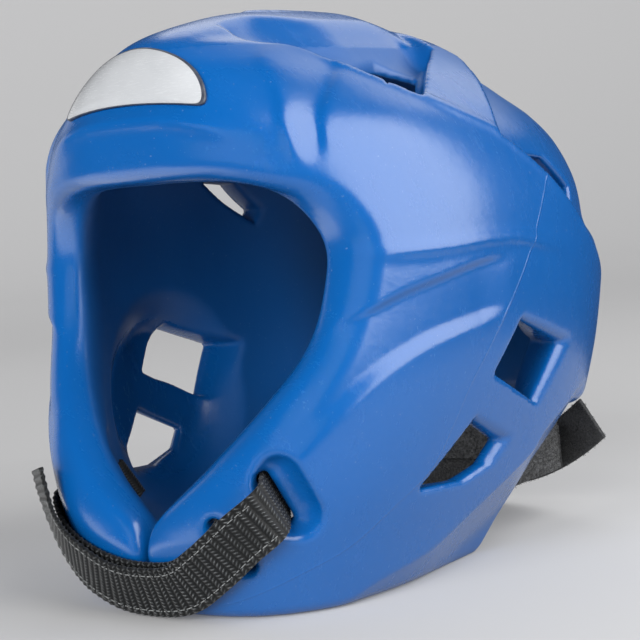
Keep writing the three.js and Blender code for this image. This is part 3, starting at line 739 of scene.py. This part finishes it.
# Flat band along a route, with its length and width kept as attributes in millimetres.
def makeBand(name, stations, across, width, thickness, spacing, columns, sewn=None):
    centre, rows, run = route(stations, spacing)
    across = np.stack([np.interp(rows, np.arange(len(across)), np.asarray(across)[:, k]) for k in range(3)], 1)
    along = np.gradient(centre, axis=0)
    along /= np.linalg.norm(along, axis=1, keepdims=True)
    across -= along * (across * along).sum(1, keepdims=True)
    across /= np.linalg.norm(across, axis=1, keepdims=True)
    thin = np.cross(along, across)
    flat = np.linspace(-1, 1, columns)
    section = [(a * (1 - 0.35 * thickness / width), 1.0, 1.0) for a in flat]
    section += [(1.0, 0.45, 0.0), (1.0, -0.45, 0.0)]
    section += [(a * (1 - 0.35 * thickness / width), -1.0, -1.0) for a in flat[::-1]]
    section += [(-1.0, -0.45, 0.0), (-1.0, 0.45, 0.0)]
    count = len(section)
    rings = np.stack([centre + across * (a * width / 2) + thin * (n * thickness / 2) for a, n, face in section], 1)
    spots = rings.reshape(-1, 3)
    total = len(spots)
    ends = [tuple(range(count))[::-1], tuple(range(total - count, total))]
    piece = meshObject(name, spots, ringFaces(len(centre), count) + ends, flat=2)
    addFloat(piece, "along", np.repeat(run, count))
    addFloat(piece, "across", np.tile([a * width / 2 for a, n, face in section], len(centre)))
    addFloat(piece, "face", np.tile([face for a, n, face in section], len(centre)))
    if sewn:
        onColumn = [abs(abs(a) - sewn["place"]) < 0.05 and face > 0 for a, n, face in section]
        onRow = (rows > sewn["rows"][0]) & (rows < sewn["rows"][1])
        addFloat(piece, "thread", np.outer(onRow, onColumn).ravel())
    return piece, run[-1]


def flatten(piece):
    picture = bpy.context.evaluated_depsgraph_get()
    mesh = bpy.data.meshes.new_from_object(piece.evaluated_get(picture))
    piece.modifiers.clear()
    old = piece.data
    piece.data = mesh
    mesh.name = piece.name
    bpy.data.meshes.remove(old)
    return piece


def geometryTree(name, sizes):
    tree = bpy.data.node_groups.new(name, "GeometryNodeTree")
    tree.interface.new_socket("Geometry", in_out="INPUT", socket_type="NodeSocketGeometry")
    tree.interface.new_socket("Geometry", in_out="OUTPUT", socket_type="NodeSocketGeometry")
    ids = {}
    for key, value in sizes.items():
        kind = "NodeSocketInt" if isinstance(value, int) else "NodeSocketFloat"
        ids[key] = tree.interface.new_socket(key, in_out="INPUT", socket_type=kind).identifier
    return tree, tree.nodes.new("NodeGroupInput"), tree.nodes.new("NodeGroupOutput"), ids


def useTree(piece, tree, ids, sizes):
    modifier = piece.modifiers.new(tree.name, "NODES")
    modifier.node_group = tree
    for key, value in sizes.items():
        modifier[ids[key]] = value
    return flatten(piece)


def field(tree, name):
    return link(tree, "GeometryNodeInputNamedAttribute", {"data_type": "FLOAT"}, Name=name)[0]


def joinAndDress(tree, parts, material):
    joined = node(tree, "GeometryNodeJoinGeometry")
    for part in parts:
        tree.links.new(part, joined.inputs[0])
    real = link(tree, "GeometryNodeRealizeInstances", None, Geometry=joined.outputs[0])[0]
    return link(tree, "GeometryNodeSetMaterial", None, Geometry=real, Material=material)[0]


# Cross ribs of woven tape: the faces swell and sink along the band, and stitches lie along its sewn rows.
def ribTree(sizes, material, threadMaterial):
    tree, entry, output, ids = geometryTree("wovenRibs", sizes)
    row = math2(tree, "DIVIDE", field(tree, "along"), entry.outputs["pitch"])
    crest = math2(tree, "COSINE", math2(tree, "MULTIPLY", row, 2 * math.pi))
    swell = math2(tree, "MULTIPLY", crest, entry.outputs["height"])
    swell = math2(tree, "MULTIPLY", swell, math2(tree, "ABSOLUTE", field(tree, "face")))
    normal = link(tree, "GeometryNodeInputNormal")[0]
    push = link(tree, "ShaderNodeVectorMath", {"operation": "SCALE"}, i0=normal, Scale=swell)
    ribbed = link(tree, "GeometryNodeSetPosition", None, Geometry=entry.outputs[0], Offset=push[0])[0]
    onRow = math2(tree, "GREATER_THAN", field(tree, "thread"), 0.99)
    line = link(tree, "GeometryNodeMeshToCurve", None, Mesh=entry.outputs[0], Selection=onRow)[0]
    line = link(tree, "GeometryNodeResampleCurve", {"mode": "LENGTH"}, Curve=line,
                Length=entry.outputs["stitchPitch"])[0]
    spots = link(tree, "GeometryNodeCurveToPoints", {"mode": "EVALUATED"}, Curve=line)
    stitch = link(tree, "GeometryNodeMeshCylinder", None, Vertices=6, Radius=entry.outputs["threadRadius"],
                  Depth=entry.outputs["stitchLength"])[0]
    stitch = link(tree, "GeometryNodeStoreNamedAttribute", {"data_type": "FLOAT", "domain": "POINT"},
                  Geometry=stitch, Name="isThread", Value=1.0)[0]
    sewn = link(tree, "GeometryNodeInstanceOnPoints", None, Points=spots["Points"], Instance=stitch,
                Rotation=spots["Rotation"])[0]
    dressed = joinAndDress(tree, (sewn, ribbed), material)
    isThread = math2(tree, "GREATER_THAN", field(tree, "isThread"), 0.5)
    dressed = link(tree, "GeometryNodeSetMaterial", None, Geometry=dressed, Selection=isThread,
                   Material=threadMaterial)[0]
    tree.links.new(dressed, output.inputs[0])
    return tree, ids


# Nap of hook-and-loop tape: short fibres that stand on its two faces.
def napTree(sizes, material):
    tree, entry, output, ids = geometryTree("tapeNap", sizes)
    onFace = math2(tree, "GREATER_THAN", math2(tree, "ABSOLUTE", field(tree, "face")), 0.5)
    spots = link(tree, "GeometryNodeDistributePointsOnFaces", {"distribute_method": "RANDOM"},
                 Mesh=entry.outputs[0], Selection=onFace, Density=entry.outputs["density"],
                 Seed=entry.outputs["seed"])
    lean = link(tree, "FunctionNodeRandomValue", {"data_type": "FLOAT_VECTOR"}, i0=(-0.9, -0.9, -3.1),
                i1=(0.9, 0.9, 3.1), Seed=entry.outputs["seed"])[0]
    turned = link(tree, "FunctionNodeRotateRotation", {"rotation_space": "LOCAL"}, i0=spots["Rotation"],
                  i1=link(tree, "FunctionNodeEulerToRotation", None, i0=lean)[0])[0]
    fibre = link(tree, "GeometryNodeMeshCone", None, Vertices=3, **{"Radius Top": entry.outputs["radius"]},
                 **{"Radius Bottom": entry.outputs["radius"]}, Depth=entry.outputs["length"])[0]
    stood = link(tree, "GeometryNodeInstanceOnPoints", None, Points=spots["Points"], Instance=fibre,
                 Rotation=turned)[0]
    tree.links.new(joinAndDress(tree, (stood, entry.outputs[0]), material), output.inputs[0])
    return tree, ids


chinStrap = {
    "width": 20, "thickness": 1.5, "spacing": 0.3, "columns": 9,
    "ribs": {"pitch": 2.9, "height": 0.0002, "stitchPitch": 0.0038, "stitchLength": 0.0029,
             "threadRadius": 0.00022},
    "yarn": 1.45, "sewn": {"place": 0.75, "rows": (22.2, 30.5)}, "quickSpacing": 0.6,
    # the tones run from the painted shade between the ribs to the painted highlight on the yarn tops
    "tones": [(0.0, (0.003, 0.0034, 0.0038)), (0.25, (0.009, 0.0102, 0.011)), (0.55, (0.046, 0.05, 0.052)),
              (0.95, (0.16, 0.168, 0.17))],
    # x, z, distance off the outer face, lean of the width
    "places": [
        (-66.4, 36, -27.4, 38), (-64.9, 34.7, -25.8, 38), (-64.05, 34.05, -21, 38), (-64, 34, -6, 38),
        (-63.7, 33.8, 0.2, 38), (-61, 32, 1.8, 37), (-52, 26.4, 1.8, 33), (-40, 20.6, 1.8, 26),
        (-18, 14.2, 1.8, 13), (0, 12.6, 1.8, 0), (16, 14.5, 1.8, -16), (26, 20, 1.8, -27), (32.5, 24.8, 1.8, -33),
        (35.6, 27.2, 0.2, -33),
        (36, 27.5, -6, -33), (36, 27.5, -18, -33), (37.4, 28.9, -25.6, -32), (45, 35.2, -28, -29),
        (52.2, 41.3, -25.8, -26), (53.5, 42.5, -18, -25), (53.5, 42.5, -6, -25), (53.2, 42.2, 1, -25),
        (50.5, 40, 4.6, -27), (42, 33, 5, -31), (30, 22.8, 4.8, -29), (16, 14.2, 4.8, -16), (0, 11.9, 4.8, 0),
        (-16, 13, 4.9, 14), (-30, 18.5, 5.2, 28), (-41, 25.5, 5.4, 42), (-48, 35, 5.8, 58), (-51, 46, 6.2, 72),
        (-52.5, 53, 6.6, 80),
    ],
}


# Each rib is a row of slanted yarn ends, with painted shade between the rows and a painted highlight on the tops
# of the yarn ends; the noises add random tone.
def webbingMaterial():
    material, tree, shader = nodeTree("ribbedWebbing")
    place = objectPlace(tree)
    row = math2(tree, "DIVIDE", attribute(tree, "along"), chinStrap["ribs"]["pitch"])
    crest = wave(tree, row)
    slant = math2(tree, "PINGPONG", math2(tree, "ADD", row, 0.5), 1.0)
    column = math2(tree, "DIVIDE", attribute(tree, "across"), chinStrap["yarn"])
    yarn = wave(tree, math2(tree, "ADD", column, slant))
    fuzz = noise(tree, place, 1500.0, 3.0, 0.7)
    wearAndBackShade = noise(tree, place, 90.0, 3.0)
    tone = math2(tree, "MULTIPLY", math2(tree, "MULTIPLY", crest, math2(tree, "POWER", yarn, 1.4)),
                 math2(tree, "MULTIPLY_ADD", fuzz, 1.1, 0.1))
    tone = math2(tree, "MULTIPLY", tone, math2(tree, "MULTIPLY_ADD", wearAndBackShade, 1.2, 0.45))
    # Painted light: the crest and yarn terms make the rib tops light grey and the grooves near black.
    tree.links.new(ramp(tree, tone, chinStrap["tones"]), shader.inputs["Base Color"])
    shader.inputs["Roughness"].default_value = 0.68
    shader.inputs["Sheen Weight"].default_value = 0.08
    shader.inputs["Sheen Roughness"].default_value = 0.4
    height = math2(tree, "ADD", math2(tree, "MULTIPLY", yarn, crest), math2(tree, "MULTIPLY", fuzz, 0.5))
    relief = link(tree, "ShaderNodeBump", None, Height=height, Strength=0.8, Distance=0.0005)[0]
    tree.links.new(relief, shader.inputs["Normal"])
    return material


def threadMaterial():
    material, tree, shader = nodeTree("sewingThread")
    place = objectPlace(tree)
    tone = ramp(tree, noise(tree, place, 2600.0), [(0.3, (0.05, 0.052, 0.054)), (0.75, (0.30, 0.31, 0.31))])
    tree.links.new(tone, shader.inputs["Base Color"])
    shader.inputs["Roughness"].default_value = 0.6
    return material


def makeChinStrap():
    stations, across = [], []
    for x, z, off, lean in chinStrap["places"]:
        at, out, side, up = outerFrame(x, z)
        stations.append(at + out * off)
        across.append(up * math.cos(math.radians(lean)) + side * math.sin(math.radians(lean)))
    spacing = chinStrap["spacing"]
    piece, length = makeBand("chinWebbing", stations, across, chinStrap["width"], chinStrap["thickness"], spacing,
                             chinStrap["columns"], chinStrap["sewn"])
    tree, ids = ribTree(chinStrap["ribs"], webbingMaterial(), threadMaterial())
    print("chin webbing length", round(length), "mm")
    return useTree(piece, tree, ids, chinStrap["ribs"])


webbing = makeChinStrap()
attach(webbing, "root")
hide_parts("chin_strap")
print("chin webbing placed")

napeStraps = {
    "width": 20, "thickness": 1.6, "spacing": 1.0, "columns": 7,
    "loops": {"density": 1.6e6, "length": 0.0011, "radius": 0.00006, "seed": 4},
    "hooks": {"density": 1.1e6, "length": 0.0008, "radius": 0.0001, "seed": 9}, "quickShare": 0.1,
    # x, forward, z, lean of the width from upright
    "left": [(55.8, -8, 22, 18), (56.2, -20, 23.5, 18), (55.7, -34, 26, 17), (54.2, -47, 29, 14),
             (56, -65, 31.5, 8), (57, -82, 32.5, 2), (51, -96, 32, -4), (38, -105, 31, -4), (20, -112.3, 30, 0),
             (0, -115.8, 30, 0), (-22, -114, 30, 0)],
    "right": [(-55.8, -8, 22, -18), (-56.2, -20, 23.5, -18), (-55.7, -34, 25, -17), (-53.8, -47, 25, -14),
              (-55, -65, 23.5, -6), (-60, -84, 21, 0), (-55, -102, 18.5, 0), (-32, -115, 17, 0),
              (0, -118.5, 17.5, 0), (22, -115.5, 20.5, -6), (40, -110, 27, -18), (55, -105.5, 35, -28),
              (66, -102.5, 42.5, -32)],
}


def napMaterial(name, dark, light, scale):
    material, tree, shader = nodeTree(name)
    place = objectPlace(tree)
    nap = noise(tree, place, scale, 3.0, 0.7)
    tree.links.new(ramp(tree, nap, [(0.3, dark), (0.7, light)]), shader.inputs["Base Color"])
    shader.inputs["Roughness"].default_value = 0.9
    shader.inputs["Sheen Weight"].default_value = 0.1
    relief = link(tree, "ShaderNodeBump", None, Height=nap, Strength=0.8, Distance=0.0008)[0]
    tree.links.new(relief, shader.inputs["Normal"])
    return material


def makeNapeStrap(side, kind, material):
    rows = napeStraps[side]
    stations = [(x, f, z) for x, f, z, lean in rows]
    across = [(math.sin(math.radians(lean)), 0, math.cos(math.radians(lean))) for x, f, z, lean in rows]
    piece, length = makeBand("napeTape" + side.capitalize(), stations, across, napeStraps["width"],
                             napeStraps["thickness"], napeStraps["spacing"], napeStraps["columns"])
    nap = dict(napeStraps[kind])
    tree, ids = napTree(nap, material)
    print("nape tape", side, round(length), "mm")
    return useTree(piece, tree, ids, nap)


loopNap = napMaterial("loopNap", (0.003, 0.003, 0.0034), (0.085, 0.087, 0.09), 750.0)
hookNap = napMaterial("hookNap", (0.0025, 0.0025, 0.003), (0.06, 0.0615, 0.064), 1100.0)
for side, kind, finish in (("left", "loops", loopNap), ("right", "hooks", hookNap)):
    tape = makeNapeStrap(side, kind, finish)
    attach(tape, "root")
    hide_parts("nape_strap_" + side)
print("nape tapes placed")

studio = {
    "pitch": 7.3, "azimuth": 38.0, "distance": 700.0, "level": 80.0, "lens": 96.86, "shiftUp": 42 / 640,
    # The floor's two glow strengths, near the guard and far off, are painted light.
    "floor": (0.40, 0.40, 0.404), "floorGlow": (0.25, 0.8), "world": (0.80, 0.81, 0.83), "worldStrength": 0.06,
    # azimuth from the face, elevation, distance in m, width and height in m, power in watts
    "lamps": {
        "sideBox": (95, 28, 1.0, 1.25, 1.25, 20.0),
        "leftBox": (-95, -4, 1.1, 0.7, 1.0, 1.4),
        "backBox": (-160, 44, 1.2, 1.2, 0.6, 3.4),
        "fillBox": (10, 14, 2.6, 2.0, 1.6, 108.0),
    },
    "unmirrored": ("fillBox",), "lampAim": 0.12,
    # lit card on the floor, beside the picture: x, forward, width, length in m and power in watts
    "card": (-0.22, 0.236, 0.36, 0.3, 0.35),
    "nearFloor": 0.38,
}


def makeCamera():
    pitch, azimuth = math.radians(studio["pitch"]), math.radians(studio["azimuth"])

    def upright(x, f, z):
        return Vector((x, -(f * math.cos(pitch) - z * math.sin(pitch)), z * math.cos(pitch) + f * math.sin(pitch)))

    right = upright(math.cos(azimuth), -math.sin(azimuth), 0)
    back = upright(math.sin(azimuth), math.cos(azimuth), 0)
    up = upright(0, 0, 1)
    data = bpy.data.cameras.new("photoCamera")
    data.lens = studio["lens"]
    data.sensor_width = 36.0
    data.shift_y = studio["shiftUp"]
    camera = placed("photoCamera", data)
    turn = Matrix((right, up, back)).transposed().to_4x4()
    start = back * studio["distance"] * 0.001 + Vector((0, originForward * 0.001, studio["level"] * 0.001))
    camera.matrix_world = Matrix.Translation(start) @ turn
    bpy.context.scene.camera = camera


def areaLamp(name, width, height, power):
    data = bpy.data.lights.new(name, "AREA")
    data.shape = "RECTANGLE"
    data.size, data.size_y = width, height
    data.energy = power
    return placed(name, data)


def makeLamp(name, azimuth, elevation, distance, width, height, power):
    lamp = areaLamp(name, width, height, power)
    a, e = math.radians(azimuth), math.radians(elevation)
    aim = Vector((math.sin(a) * math.cos(e), -math.cos(a) * math.cos(e), math.sin(e)))
    lamp.location = Vector((0, 0, studio["lampAim"])) + aim * distance
    lamp.rotation_euler = aim.to_track_quat("Z", "Y").to_euler()
    lamp.visible_glossy = name not in studio["unmirrored"]


def makeCard(x, forward, width, length, power):
    card = areaLamp("floorCard", width, length, power)
    card.location = (x, -forward, 0.004)
    card.rotation_euler = (math.pi, 0, math.radians(studio["azimuth"]))


# Floor that sweeps up behind the guard, as seen from the camera, and a disc under it that its gloss mirrors; both
# glow, a painted light that is dimmer near the guard and brighter towards the sweep.
def makeFloor():
    turn = math.radians(studio["azimuth"])
    away = Vector((-math.sin(turn), math.cos(turn), 0))
    across = Vector((math.cos(turn), math.sin(turn), 0))
    profile = [(-7.0, 0.0), (2.2, 0.0)]
    profile += [(2.2 + math.sin(t), 1 - math.cos(t)) for t in np.linspace(0, math.pi / 2, 14)[1:]]
    profile.append((3.2, 6.0))
    corners = []
    for reach, height in profile:
        corners += [away * reach + across * side + Vector((0, 0, height)) for side in (-7, 7)]
    mesh = bpy.data.meshes.new("paleFloor")
    quads = [(2 * k, 2 * k + 1, 2 * k + 3, 2 * k + 2) for k in range(len(profile) - 1)]
    mesh.from_pydata([tuple(c) for c in corners], [], quads)
    mesh.polygons.foreach_set("use_smooth", [True] * len(quads))
    floor = placed("paleFloor", mesh)
    material, tree, shader = nodeTree("paleFloor")
    shader.inputs["Base Color"].default_value = (*studio["floor"], 1)
    shader.inputs["Roughness"].default_value = 0.9
    # Painted light: the floor and the disc glow though they are no lamps, less near the guard than far off.
    reach = link(tree, "ShaderNodeVectorMath", {"operation": "LENGTH"}, i0=objectPlace(tree))["Value"]
    low, high = studio["floorGlow"]
    glow = link(tree, "ShaderNodeMapRange", {"interpolation_type": "SMOOTHSTEP"}, Value=reach, i1=0.2, i2=2.2,
                i3=low, i4=high)[0]
    shader.inputs["Emission Color"].default_value = (*studio["floor"], 1)
    tree.links.new(glow, shader.inputs["Emission Strength"])
    mesh.materials.append(material)
    floor.location.z = -0.0002
    floor.visible_glossy = False
    turns = np.linspace(0, 2 * math.pi, 64, endpoint=False)
    disc = bpy.data.meshes.new("nearFloor")
    ring = [(studio["nearFloor"] * math.cos(t), studio["nearFloor"] * math.sin(t), 0) for t in turns]
    disc.from_pydata(ring, [], [tuple(range(len(turns)))])
    disc.materials.append(material)
    placed("nearFloor", disc)


def makeWorld():
    world = bpy.data.worlds.new("studio")
    world.use_nodes = True
    background = world.node_tree.nodes["Background"]
    background.inputs[0].default_value = (*studio["world"], 1)
    background.inputs[1].default_value = studio["worldStrength"]
    bpy.context.scene.world = world


makeCamera()
makeFloor()
makeWorld()
for name, lamp in studio["lamps"].items():
    makeLamp(name, *lamp)
makeCard(*studio["card"])
bpy.context.scene.view_settings.view_transform = "Standard"
print("studio placed")
